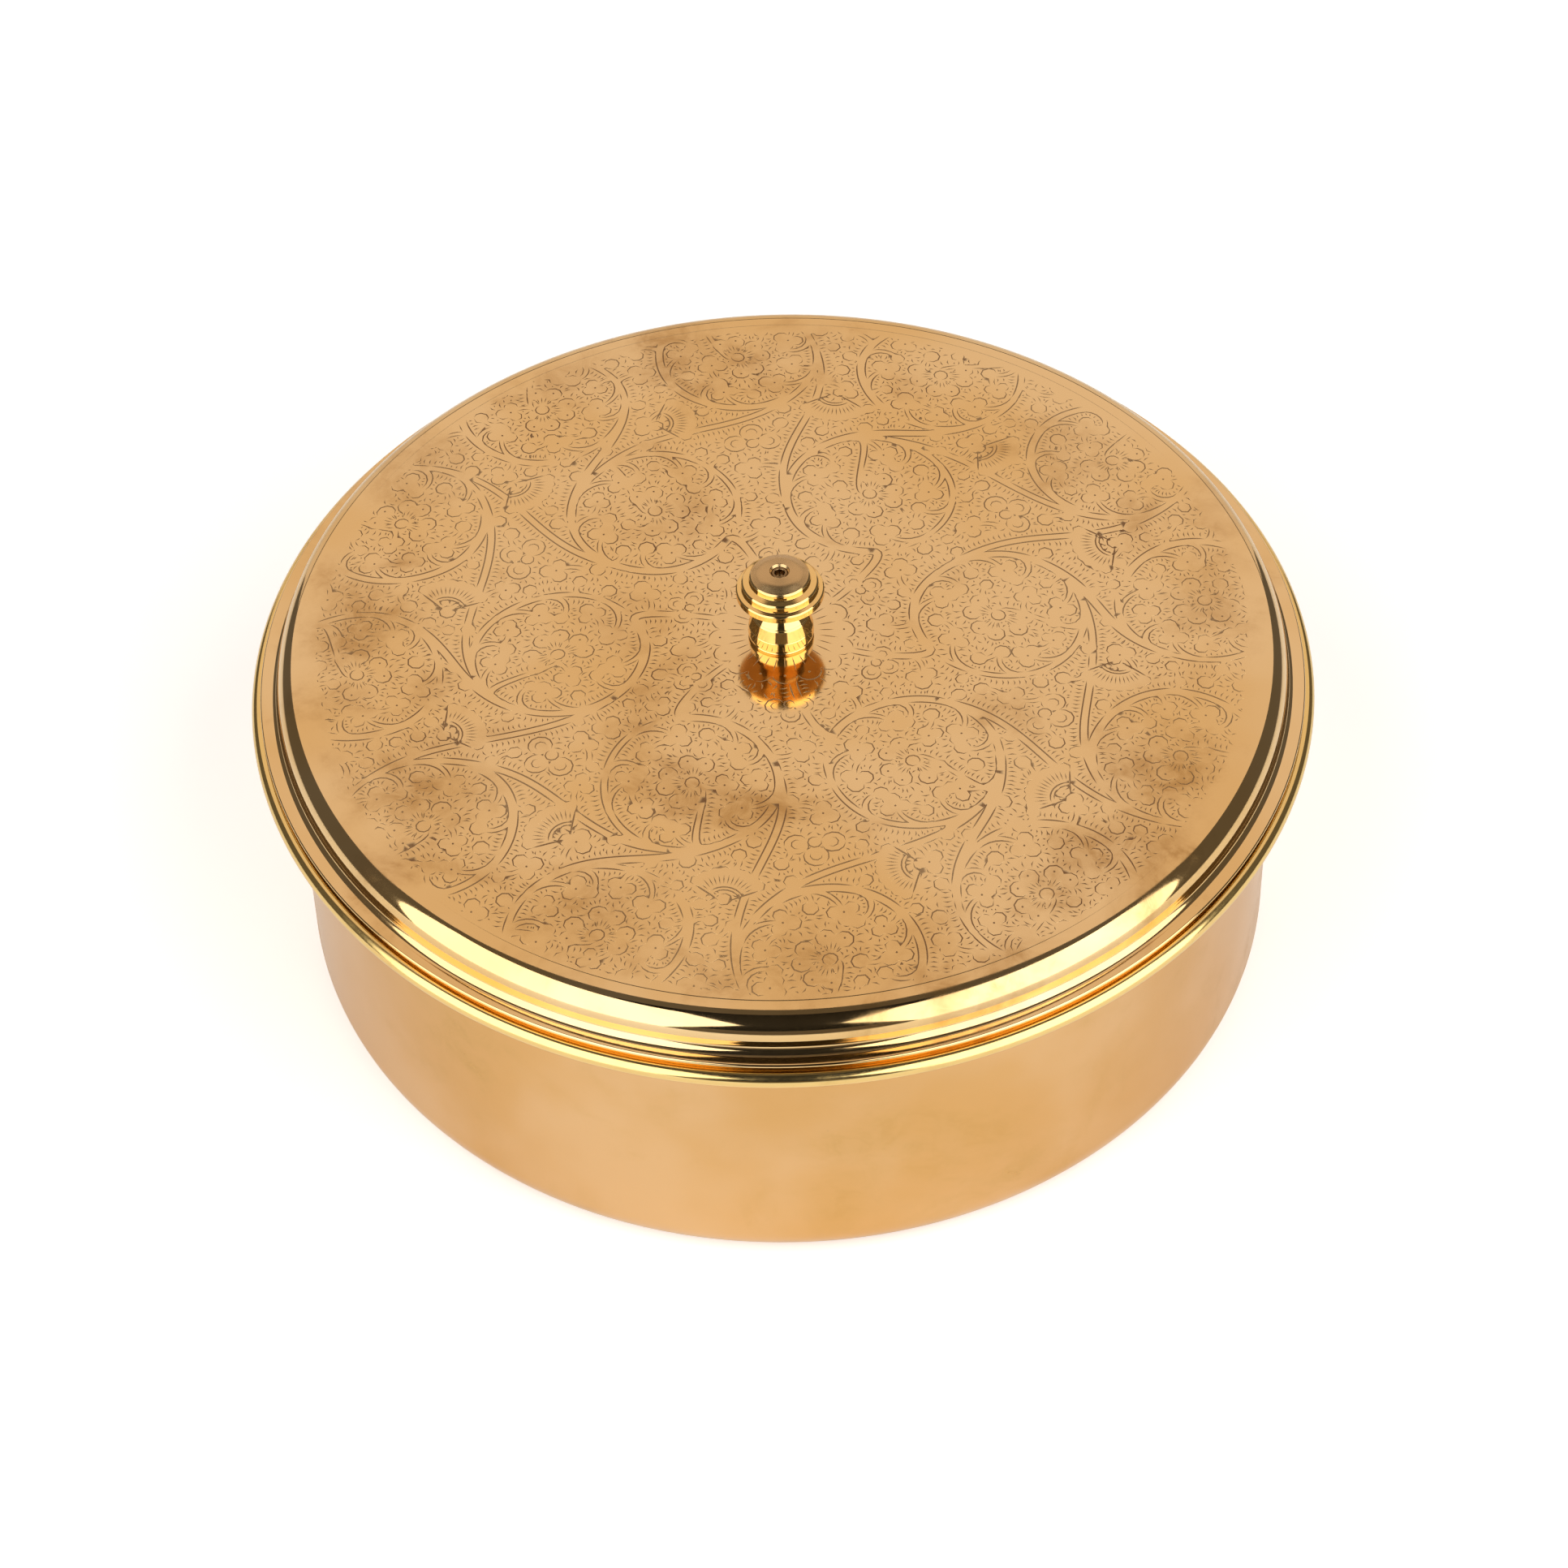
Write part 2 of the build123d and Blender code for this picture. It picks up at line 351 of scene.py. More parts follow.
def lidBrass():
    look = dict(baseLook, clean=(0.85, 0.63, 0.34, 1), warm=(0.79, 0.54, 0.24, 1),
                roughness=0.06, plateRoughness=0.04, stainAmount=0.75, patches=tarnish["lid"],
                cut=(0.17, 0.08, 0.03, 1), cutFaint=0.8, cutStrong=1.0, cutRoughness=0.5, cutGrime=0.9,
                latheHeight=0.0000015, latheScale=2500.0, scratchHeight=0.0000012, scratchAngle=0.7)
    return brassMaterial("lidBrass", look)


def knobBrass():
    # Painted shade and tarnish: the band round the neck, under the cap, is a darker, duller brown.
    look = dict(baseLook, clean=(0.90, 0.64, 0.27, 1), warm=(0.86, 0.57, 0.21, 1), roughness=0.07,
                paintedLightAndTarnishBands=[(lidHigh.z + 9.2 * mm, lidHigh.z + 11.2 * mm, (0.48, 0.29, 0.11, 1), 0.1),
                       # Painted dark reflection: the top of the cap is a darker, duller brown.
                       (knobTop - 1.2 * mm, knobTop + 1 * mm, (0.60, 0.41, 0.20, 1), 0.2)],
                stainAmount=0.25, latheHeight=0.000004, latheScale=5000.0, waveHeight=0.0)
    return brassMaterial("knobBrass", look)


def rivetBrass():
    look = dict(baseLook, clean=(0.34, 0.23, 0.12, 1), warm=(0.20, 0.12, 0.05, 1), roughness=0.22,
                stainAmount=0.6, latheHeight=0.000003, latheScale=5000.0, waveHeight=0.0)
    return brassMaterial("rivetBrass", look)


def bowlBrass():
    look = dict(baseLook, clean=(0.90, 0.63, 0.31, 1), warm=(0.86, 0.56, 0.24, 1), roughness=0.18,
                stainAmount=0.4, latheHeight=0.000002, latheScale=2500.0, blotchScale=45.0)
    return brassMaterial("bowlBrass", look)


def spoonBrass():
    look = dict(baseLook, clean=(0.90, 0.62, 0.28, 1), warm=(0.84, 0.54, 0.22, 1), roughness=0.15,
                stainAmount=0.4, blotchScale=60.0, waveHeight=0.00003, waveScale=90.0)
    return brassMaterial("spoonBrass", look)


materials = {
    "box_brass": boxBrass(),
    "lid_brass": lidBrass(),
    "knob_brass": knobBrass(),
    "rivet_brass": rivetBrass(),
    "bowl_brass": bowlBrass(),
    "spoon_brass": spoonBrass(),
}
print("spice box: brass mixed,", len(materials), "finishes")


def fit(piece, body, node, slot):
    piece.data.materials.append(materials[slot])
    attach(piece, body)
    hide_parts(node)


boxShape = {
    "sheet": 0.9 * mm,
    "rimRoll": 1.7 * mm,
    "rimOverhang": 7.6 * mm,
    "baseRounding": 8.0 * mm,
    "mouthRounding": 2.5 * mm,
    "turns": 400,
}


def spunBox():
    # A straight wall that flares to a flat ledge and a rolled rim, turned about the axis.
    shape = boxShape
    wall = rimRadius - shape["rimOverhang"]
    inner = wall - shape["sheet"]
    corners = [
        (wall, boxHigh.z - shape["sheet"], shape["mouthRounding"] - shape["sheet"]),
        (wall, boxLow.z, shape["baseRounding"]),
        (0, boxLow.z, 0),
        (0, boxLow.z + shape["sheet"], 0),
        (inner, boxLow.z + shape["sheet"], shape["baseRounding"] - shape["sheet"]),
        (inner, boxHigh.z, shape["mouthRounding"]),
    ]
    rollCentre = (rimRadius - shape["rimRoll"], boxHigh.z - shape["rimRoll"])
    profile = rolledPath(rollCentre, shape["rimRoll"], shape["sheet"], 90, corners)
    return turnedPiece("spunBox", profile, shape["turns"])


fit(spunBox(), "box", "box_shell", "box_brass")
print("spice box: box spun")


# The engraving on the lid: scrolling vines, blossoms and feather strokes, drawn in millimetres.
# A place on the lid is one complex number: x + y i.

engraving = {
    "seed": 21,
    "reach": 94.4,              # engraving stops here, leaving a plain margin
    "innerReach": 5.6,
    "grid": 0.16,
    "far": 5.0,                 # distances are worked out up to here
    "ringRadius": 44.7,         # inner roundels
    "ringTurn": 5.0,
    "outerRadius": 86.0,        # outer roundels, cut off by the margin
    "roundel": 17.3,
    "lineWidth": 0.34,
    "lineDepth": 0.055,
    "sampleStep": 0.18,
    "pointStep": 1.3,
    "strokeSpacing": 1.1,
    "strokeRows": ((0.35, 2.1), (2.75, 1.9)),   # start and longest length of each row
    "strokeWidth": 0.34,
    "strokeDepth": 0.04,
    "handDrift": 0.3,
}
drawing = np.random.default_rng(engraving["seed"])
half = int(96 / engraving["grid"])
axisCells = np.arange(-half, half + 1) * engraving["grid"]
nearest = np.full((len(axisCells), len(axisCells)), engraving["far"], np.float32)
outlines = []                   # (places, outward directions)
lines = []                      # cut lines inside the shapes
dots = []


def ray(degrees):
    return np.exp(1j * np.radians(degrees))


def windowOf(low, high):
    # Rows and columns of the distance grid within reach of a box between two places.
    far, grid = engraving["far"], engraving["grid"]
    spans = []
    for start, end in ((low.imag, high.imag), (low.real, high.real)):
        first = max(0, int((start - far) / grid) + half)
        spans.append(slice(first, max(first, int((end + far) / grid) + half + 2)))
    rows, columns = spans
    return rows, columns, axisCells[columns][None] + 1j * axisCells[rows][:, None]


def stampDisc(centre, radius):
    # Distance to a disc: length of the offset from its centre, less its radius.
    rows, columns, cells = windowOf(centre - radius * (1 + 1j), centre + radius * (1 + 1j))
    nearest[rows, columns] = np.minimum(nearest[rows, columns], np.abs(cells - centre) - radius)


def stampStretch(start, end, startWidth, endWidth):
    # Distance to a tapering stretch: to the nearest point on its line, less the half width there.
    widest = max(startWidth, endWidth) * (1 + 1j)
    low = complex(min(start.real, end.real), min(start.imag, end.imag))
    high = complex(max(start.real, end.real), max(start.imag, end.imag))
    rows, columns, cells = windowOf(low - widest, high + widest)
    way = end - start
    share = np.clip(((cells - start) * np.conj(way)).real / abs(way) ** 2, 0, 1)
    reach = np.abs(cells - start - share * way) - startWidth - share * (endWidth - startWidth)
    nearest[rows, columns] = np.minimum(nearest[rows, columns], reach)


def distanceAt(places):
    # Distance to the nearest shape, weighed between the four grid points round each place.
    column = np.clip(places.real / engraving["grid"] + half, 0, len(axisCells) - 1.001)
    row = np.clip(places.imag / engraving["grid"] + half, 0, len(axisCells) - 1.001)
    c, r = column.astype(int), row.astype(int)
    u, v = column - c, row - r
    upper = nearest[r, c] * (1 - u) + nearest[r, c + 1] * u
    lower = nearest[r + 1, c] * (1 - u) + nearest[r + 1, c + 1] * u
    return upper * (1 - v) + lower * v


def drawDisc(centre, radius, outlined=True):
    if abs(centre) > engraving["reach"] + 3:
        return
    stampDisc(centre, radius)
    if outlined:
        count = max(16, int(2 * math.pi * radius / engraving["sampleStep"]))
        spokes = ray(np.arange(count + 1) * 360 / count + drawing.uniform(0, 360))
        outlines.append((centre + radius * spokes, spokes))


def drawVine(path, startWidth, endWidth):
    # Carries a tapering width along a path; its outlines stand half the width either side of it.
    if np.abs(path).min() > engraving["reach"] + 3:
        return
    widths = startWidth + (endWidth - startWidth) * np.linspace(0, 1, len(path))
    coarse = np.unique(np.linspace(0, len(path) - 1, max(3, len(path) // 5)).round().astype(int))
    for here, there in zip(coarse[:-1], coarse[1:]):
        stampStretch(path[here], path[there], widths[here], widths[there])
    aside = np.gradient(path) * 1j
    aside /= np.abs(aside)
    outlines.append((path + aside * widths, aside))
    outlines.append((path - aside * widths, -aside))


def arcPath(centre, radius, start, sweep):
    steps = max(6, int(abs(radius * math.radians(sweep)) / engraving["sampleStep"]))
    return centre + radius * ray(start + np.linspace(0, sweep, steps))


def swayPath(start, startWay, end, endWay):
    # A Hermite curve: it leaves start along startWay and arrives at end along endWay.
    t = np.linspace(0, 1, max(8, int(abs(end - start) * 1.15 / engraving["sampleStep"])))
    stay = 2 * t ** 3 - 3 * t ** 2 + 1
    arrive = 3 * t ** 2 - 2 * t ** 3
    leaving = t ** 3 - 2 * t ** 2 + t
    coming = t ** 3 - t ** 2
    return stay * start + leaving * startWay + arrive * end + coming * endWay


def blossom(centre, stemWay, size=1.0):
    # Three round lobes, one opposite the stem and one to each side, with a dot in the middle.
    for turn, radius in ((180, 1.75), (72, 1.6), (-72, 1.6)):
        lobe = stemWay * ray(turn + drawing.uniform(-6, 6))
        drawDisc(centre + lobe * 1.75 * size, radius * size * drawing.uniform(0.92, 1.08))
    drawDisc(centre, 1.3 * size, False)
    dots.append(centre)


def daisy(centre, stemWay, size=1.0):
    # Three two-lobed petals and a stem, a quarter turn apart: rays run from the eye into each petal and
    # each lobe has a dot.
    for turn in (90, 180, 270):
        petal = stemWay * ray(turn + drawing.uniform(-5, 5))
        for side in (-19, 19):
            drawDisc(centre + petal * ray(side) * 5.3 * size, 1.95 * size)
            dots.append(centre + petal * ray(side) * 5.7 * size)
        drawDisc(centre + petal * 3.9 * size, 1.9 * size)
        drawDisc(centre + petal * 2.9 * size, 1.35 * size)
        for side in (-21, -7, 7, 21):
            rayLine = np.linspace(2.1, 4.6 - abs(side) * 0.04, 3)
            lines.append((centre + petal * ray(side) * rayLine * size, 0.9))
    drawDisc(centre, 1.9 * size, False)
    lines.append((arcPath(centre, 1.45 * size, drawing.uniform(0, 360), 352)[::5], 0.9))


def loopFlower(centre, stemWay, size=1.0):
    # Three round petals, each with a loop line inside, and a plain eye.
    for turn in (95, 180, 265):
        petal = stemWay * ray(turn)
        drawDisc(centre + petal * 3.6 * size, 2.45 * size)
        start = math.degrees(np.angle(petal)) - 125
        lines.append((arcPath(centre + petal * 3.4 * size, 1.2 * size, start, 250)[::5], 0.8))
    drawDisc(centre, 1.5 * size, False)
    lines.append((arcPath(centre, 1.35 * size, drawing.uniform(0, 360), 350)[::5], 0.9))


def fan(centre, way, size=1.0):
    # A ray fan: four two-lobed scallops, thirteen rays and a double arch with feather strokes inside.
    for turn in np.linspace(-42, 42, 4):
        for side in (-6.5, 6.5):
            drawDisc(centre + way * ray(turn + side) * 7.9 * size, 1.35 * size)
    for turn in np.linspace(-48, 48, 9):
        drawDisc(centre + way * ray(turn) * 6.0 * size, 1.6 * size, False)
        drawDisc(centre + way * ray(turn) * 4.6 * size, 0.8 * size, False)
    for turn in np.linspace(-49, 49, 13):
        reach = (4.6, 7.3) if abs(turn) < 45 else (4.6, 6.6)
        lines.append((centre + way * ray(turn) * np.linspace(*reach, 3) * size, 1.0))
    middle = math.degrees(np.angle(way))
    for radius in (3.3, 4.05):
        lines.append((arcPath(centre, radius * size, middle - 55, 110)[::5], 1.0))
    for side in (-1, 1):
        edge = way * ray(side * 57)
        lines.append((centre + edge * np.linspace(1.0, 7.4, 8) * size, 1.1))


def roundel(centre, startTurn):
    # A vine circles clockwise; side shoots leave it tangentially and curl inwards about their own
    # centres, ending by turns in a berry or a blossom, and a daisy stands in the middle.
    size = engraving["roundel"]
    start = startTurn + drawing.uniform(-10, 10)
    drawVine(arcPath(centre, size, start, -338), 0.95, 0.6)
    shoots = 9
    for number in range(shoots):
        turn = start - 14 - number * 340 / shoots + drawing.uniform(-4, 4)
        flowers = number % 2 == 0
        curl = drawing.uniform(6.0, 6.8) if flowers else drawing.uniform(3.5, 4.2)
        sweep = -drawing.uniform(78, 92) if flowers else -drawing.uniform(135, 160)
        path = arcPath(centre + (size - curl) * ray(turn), curl, turn, sweep)
        drawVine(path, 0.75, 0.42)
        if flowers:
            onward = (path[-1] - path[-4]) / abs(path[-1] - path[-4])
            blossom(path[-1] + onward * 1.2, -ray(turn + sweep - 90))
        else:
            drawDisc(path[-1], drawing.uniform(1.5, 1.8))
    inward = start + drawing.uniform(150, 200)
    stem = swayPath(centre + size * ray(inward), -1j * ray(inward) * size * 0.9,
                    centre + 1.6 * ray(inward + 70), -ray(inward + 40) * size * 0.55)
    drawVine(stem, 0.8, 0.4)
    daisy(centre, ray(inward + 70))
    for number in range(8):
        turn = start + number * 45 + drawing.uniform(-8, 8)
        spot = centre + (size + 2.9) * ray(turn - 7)
        if distanceAt(np.array([spot]))[0] > 1.6:
            stalk = swayPath(centre + size * ray(turn), -1j * ray(turn) * 3, spot, ray(turn - 7) * 2)
            drawVine(stalk, 0.7, 0.4)
            drawDisc(spot, drawing.uniform(1.35, 1.7))


def crossLink(first, second, width=0.95, swing=26):
    # Leaves one circle a little after the inner tangent of the two and joins the other a little before
    # it, so that two circling vines become one long S.
    size, gap = engraving["roundel"], abs(second - first)
    way = (second - first) / gap
    lean = way * ray(math.degrees(math.acos(min(1, 2 * size / gap))) + swing)
    start, end = first + size * lean, second - size * lean
    pull = -1j * lean * abs(end - start) * 1.25
    drawVine(swayPath(start, pull, end, pull), width, width * 0.9)


def fillSpaces():
    # Wherever the nearest shape is furthest away, a blossom or a berry grows on a stem from that shape.
    step = 4
    coarse = axisCells[::step][None] + 1j * axisCells[::step][:, None]
    inside = (np.abs(coarse) < engraving["reach"]) & (np.abs(coarse) > 15)
    tossing = drawing.uniform(0, 0.35, coarse.shape)
    for _ in range(600):
        room = np.where(inside, nearest[::step, ::step] + tossing, 0)
        pick = np.unravel_index(room.argmax(), room.shape)
        spot, space = coarse[pick], nearest[::step, ::step][pick]
        if space < 2.55:
            break
        around = spot + 0.4 * ray(np.arange(0, 360, 20))
        stemWay = ray(np.arange(0, 360, 20))[distanceAt(around).argmin()]
        spot = spot - stemWay * 0.3
        bend = 1j * drawing.choice([-1, 1]) * 0.6
        root = spot + stemWay * (space + 0.6)
        leaving, arriving = -stemWay * (1 + bend) * space, -stemWay * (1 - bend) * space
        drawVine(swayPath(root, leaving, spot, arriving), 0.6, 0.4)
        if space > 3.5:
            blossom(spot, stemWay, min(1.0, space / 4.2))
        else:
            drawDisc(spot, min(1.75, space * 0.52))


def drawPattern():
    ring = [engraving["ringRadius"] * ray(engraving["ringTurn"] + 60 * k) for k in range(6)]
    outer = [engraving["outerRadius"] * ray(engraving["ringTurn"] + 30 * k) for k in range(12)]
    # rosette round the knob
    for number in range(16):
        drawDisc(12.4 * ray(number * 22.5 + 3), 2.45)
    stampDisc(0, 12.6)
    for number in range(32):
        way = ray(number * 11.25 + 3)
        lines.append((way * np.linspace(7.4, 10.6 + (number % 2) * 0.8, 4), 0.9))
        if number % 2 == 0:
            dots.append(way * 12.6)
    for number, centre in enumerate(ring):
        turn = engraving["ringTurn"] + 60 * number
        roundel(centre, turn + 205)
        start = 14.2 * ray(turn - 26)
        end = centre + engraving["roundel"] * ray(turn + 205)
        drawVine(swayPath(start, start * 0.9, end, -1j * ray(turn + 205) * 14), 0.7, 0.95)
    for number, centre in enumerate(outer):
        turn = engraving["ringTurn"] + 30 * number
        roundel(centre, turn + 180 + (25 if number % 2 else -35))
    for number in range(6):
        crossLink(ring[number], outer[2 * number])
        crossLink(ring[number], outer[(2 * number + 1) % 12], 0.8)
        crossLink(outer[(2 * number + 1) % 12], ring[(number + 1) % 6], 0.8)
        turn = engraving["ringTurn"] + 60 * number
        fan(73.0 * ray(turn + 15), -ray(turn + 15 + drawing.uniform(-6, 6)))
        fan(68.5 * ray(turn + 47), -1j * ray(turn + 47 + drawing.uniform(-6, 6)))
        loopFlower(57.0 * ray(turn + 30), -ray(turn + 30))
        loopFlower(20.5 * ray(turn + 30), -ray(turn + 30), 0.8)
    fillSpaces()


def keptRuns(places, seen, step):
    # Splits a finely sampled line into its unbroken runs and thins each to about one point a step.
    edges = np.flatnonzero(np.diff(np.concatenate([[0], seen.astype(int), [0]])))
    for first, last in edges.reshape(-1, 2):
        run = places[first:last]
        length = np.abs(np.diff(run)).sum()
        if length < 0.5:
            continue
        count = max(3, int(round(length / step)) + 1)
        yield run[np.linspace(0, len(run) - 1, count).round().astype(int)]


def strokeMesh(run, width, depth):
    # A V-shaped cut along a run: a tip at each end and, at each point between, a left edge, a deep
    # middle and a right edge. The edge stands half the width aside, less towards the tips.
    aside = np.gradient(run) * 1j
    aside /= np.abs(aside) + 1e-9
    body = run[1:-1]
    count = len(body)
    swell = np.minimum(1, 0.72 + 0.28 * np.minimum(np.arange(count), np.arange(count)[::-1]))
    swell = swell * width / 2
    edge = aside[1:-1] * swell
    points = np.concatenate([run[:1], run[-1:], body + edge, body, body - edge])
    depths = np.concatenate([[0, 0], np.zeros(count), np.full(count, depth), np.zeros(count)])
    rows = np.arange(count)
    edges = []
    for lane in range(3):
        chain = np.concatenate([[0], 2 + lane * count + rows, [1]])
        edges.append(np.stack([chain[:-1], chain[1:]], 1))
    return points, depths, np.concatenate(edges)


def gridCells(places):
    column = np.clip(places.real / engraving["grid"] + half, 2, len(axisCells) - 3)
    row = np.clip(places.imag / engraving["grid"] + half, 2, len(axisCells) - 3)
    return row.round().astype(int), column.round().astype(int)


def featherStrokes():
    # Short strokes stand square off every outline in two rows, longest outlines first. Each grows until
    # it comes near another shape or a stroke of another outline.
    inked = np.zeros(nearest.shape, bool)
    order = sorted(range(len(outlines)), key=lambda number: -len(outlines[number][0]))
    starts, ends = [], []
    for first, longest in engraving["strokeRows"]:
        tries = np.arange(first, first + longest, 0.25)
        for places, outward in (outlines[number] for number in order):
            length = np.concatenate([[0], np.cumsum(np.abs(np.diff(places)))])
            stops = np.arange(drawing.uniform(0.2, 0.8), length[-1], engraving["strokeSpacing"])
            feet = np.interp(stops, length, places.real) + 1j * np.interp(stops, length, places.imag)
            ways = np.interp(stops, length, outward.real) + 1j * np.interp(stops, length, outward.imag)
            ways = ways / np.abs(ways) * ray(drawing.normal(0, 3, len(ways)))
            reach = np.zeros(len(feet))
            free = np.abs(feet) < engraving["reach"]
            for out in tries:
                spots = feet + ways * out
                free &= (distanceAt(spots) > min(out - 0.12, 0.3)) & ~inked[gridCells(spots)]
                reach[free] = out
            kept = (reach > first + 0.6) & (np.abs(feet + ways * reach) < engraving["reach"] - 0.3)
            begin = (feet + ways * first)[kept]
            end = (feet + ways * (reach - drawing.uniform(0, 0.2, len(feet))))[kept]
            starts.append(begin)
            ends.append(end)
            rows, columns = gridCells((begin + (end - begin) * np.linspace(0, 1, 7)[:, None]).ravel())
            for across in range(-2, 3):
                for along in range(-2, 3):
                    inked[rows + across, columns + along] = True
    return np.concatenate(starts), np.concatenate(ends)


def featherMesh(starts, ends):
    # Five points a stroke: two tips, two edges and the deep middle between them, bent a little aside.
    count = len(starts)
    aside = (ends - starts) / np.abs(ends - starts) * 1j
    middles = (starts + ends) / 2 + aside * np.abs(ends - starts) * drawing.uniform(0.08, 0.14, count)
    wide = aside * engraving["strokeWidth"] / 2
    points = np.stack([starts, ends, middles + wide, middles, middles - wide], 1).ravel()
    depths = np.tile([0, 0, 0, engraving["strokeDepth"], 0], count)
    pairs = np.array([(0, 2), (2, 1), (1, 4), (4, 0), (0, 3), (3, 1)])
    edges = (np.arange(count)[:, None, None] * 5 + pairs).reshape(-1, 2)
    return points, depths, edges


def dotMesh(centres):
    # A small round pit: six points round a deep middle.
    rim = ray(np.arange(6) * 60) * 0.3
    points = np.concatenate([centres[:, None] + rim, centres[:, None]], 1).ravel()
    depths = np.tile([0] * 6 + [engraving["strokeDepth"]], len(centres))
    pairs = np.array([(k, (k + 1) % 6) for k in range(6)] + [(k, 6) for k in range(6)])
    edges = (np.arange(len(centres))[:, None, None] * 7 + pairs).reshape(-1, 2)
    return points, depths, edges


def handDrift(places):
    # A slow wander of the drawing: three long sine waves in each direction.
    drift = engraving["handDrift"]
    moved = places.copy()
    for wave in (38.0, 57.0, 90.0):
        turn, phase = drawing.uniform(0, 360, 2), drawing.uniform(0, 6.3, 2)
        swing = [np.sin((places * ray(turn[k])).real * 2 * math.pi / wave + phase[k]) for k in (0, 1)]
        moved = moved + drift * swing[0]
        moved = moved + drift * 1j * swing[1]
    return moved


def engravingCuts():
    # All cuts as points with depths, and the pairs of points that have to be edges of the plate.
    drawPattern()
    reach, inner = engraving["reach"], engraving["innerReach"]
    cuts = []
    for places, _ in outlines:
        seen = (distanceAt(places) > -0.07) & (np.abs(places) < reach) & (np.abs(places) > inner)
        for run in keptRuns(places, seen, engraving["pointStep"]):
            cuts.append(strokeMesh(run, engraving["lineWidth"], engraving["lineDepth"]))
    for path, weight in lines:
        if np.abs(path).max() < reach and len(path) > 2:
            cuts.append(strokeMesh(path, engraving["lineWidth"] * weight, engraving["lineDepth"] * weight))
    spots = np.array(dots)
    cuts.append(dotMesh(spots[np.abs(spots) < reach - 0.5]))
    cuts.append(featherMesh(*featherStrokes()))
    starts = np.concatenate([[0], np.cumsum([len(cut[0]) for cut in cuts])[:-1]])
    points = handDrift(np.concatenate([cut[0] for cut in cuts]))
    depths = np.concatenate([cut[1] for cut in cuts])
    edges = np.concatenate([cut[2] + start for cut, start in zip(cuts, starts)])
    return points, depths, edges


lidShape = {
    "sheet": 0.9 * mm,
    "wallInset": 3.7 * mm,          # flange edge to lid wall
    "shoulderRounding": 4.8 * mm,
    "footRounding": 1.7 * mm,
    "crown": 1.9 * mm,              # the middle stands this much above the edge of the top
    "scribeInset": 1.5 * mm,        # scribed line inside the edge of the flat
    "scribeDepth": 0.05 * mm,
    "plateInset": 1.9 * mm,         # engraved plate ends here, inside the edge of the flat
    "plateInner": 4.0 * mm,         # and here, under the knob
    "hole": 1.7 * mm,
    "turns": 240,
}


def crownHeight(radius):
    # Height of the lid's top: level in the middle, then an arc of one wide circle, then a straight fall
    # to the corner that the shoulder rounds off.
    shape = lidShape
    wall = lidHigh.x - shape["wallInset"]
    bend = (wall - shape["shoulderRounding"]) / 2
    slope = shape["crown"] / (wall - bend)
    reach = 0.85 * bend
    rounding = reach / math.tan(math.atan(slope) / 2)
    arc = rounding - np.sqrt(rounding ** 2 - np.clip(radius - bend + reach, 0, 2 * reach) ** 2)
    beyond = np.clip(radius - bend - reach, 0, None) * slope
    return lidHigh.z - arc - beyond


def lidPath():
    # From the edge of the engraved plate over the scribed line, the shoulder, the wall and the flange,
    # then back under the sheet to the rivet hole and up to the plate again.
    shape = lidShape
    edge, low, sheet = lidHigh.x, lidLow.z, shape["sheet"]
    wall = edge - shape["wallInset"]
    flat = wall - shape["shoulderRounding"]
    foot, lip = shape["footRounding"], sheet * 0.45
    scribe = flat - shape["scribeInset"]
    drop = shape["scribeDepth"]
    bend = flat / 2
    under = lidHigh.z - sheet
    crownRounding = 0.85 * bend / math.tan(math.atan(shape["crown"] / (wall - bend)) / 2)
    return roundedPath([
        (flat - shape["plateInset"], crownHeight(flat - shape["plateInset"]), 0),
        (scribe - 0.12 * mm, crownHeight(scribe - 0.12 * mm), 0),
        (scribe, crownHeight(scribe) - drop, 0),
        (scribe + 0.15 * mm, crownHeight(scribe + 0.15 * mm) - drop * 0.2, 0),
        (wall, crownHeight(wall) - drop * 0.5, shape["shoulderRounding"]),
        (wall, low + sheet, foot),
        (edge, low + sheet, lip),
        (edge, low, lip),
        (wall - sheet, low, foot + sheet),
        (wall - sheet, crownHeight(wall) - sheet, shape["shoulderRounding"] - sheet),
        (bend, under, crownRounding),
        (shape["hole"], under, 0),
        (shape["hole"], lidHigh.z, 0),
        (shape["plateInner"], lidHigh.z, 0),
    ], False, 9)


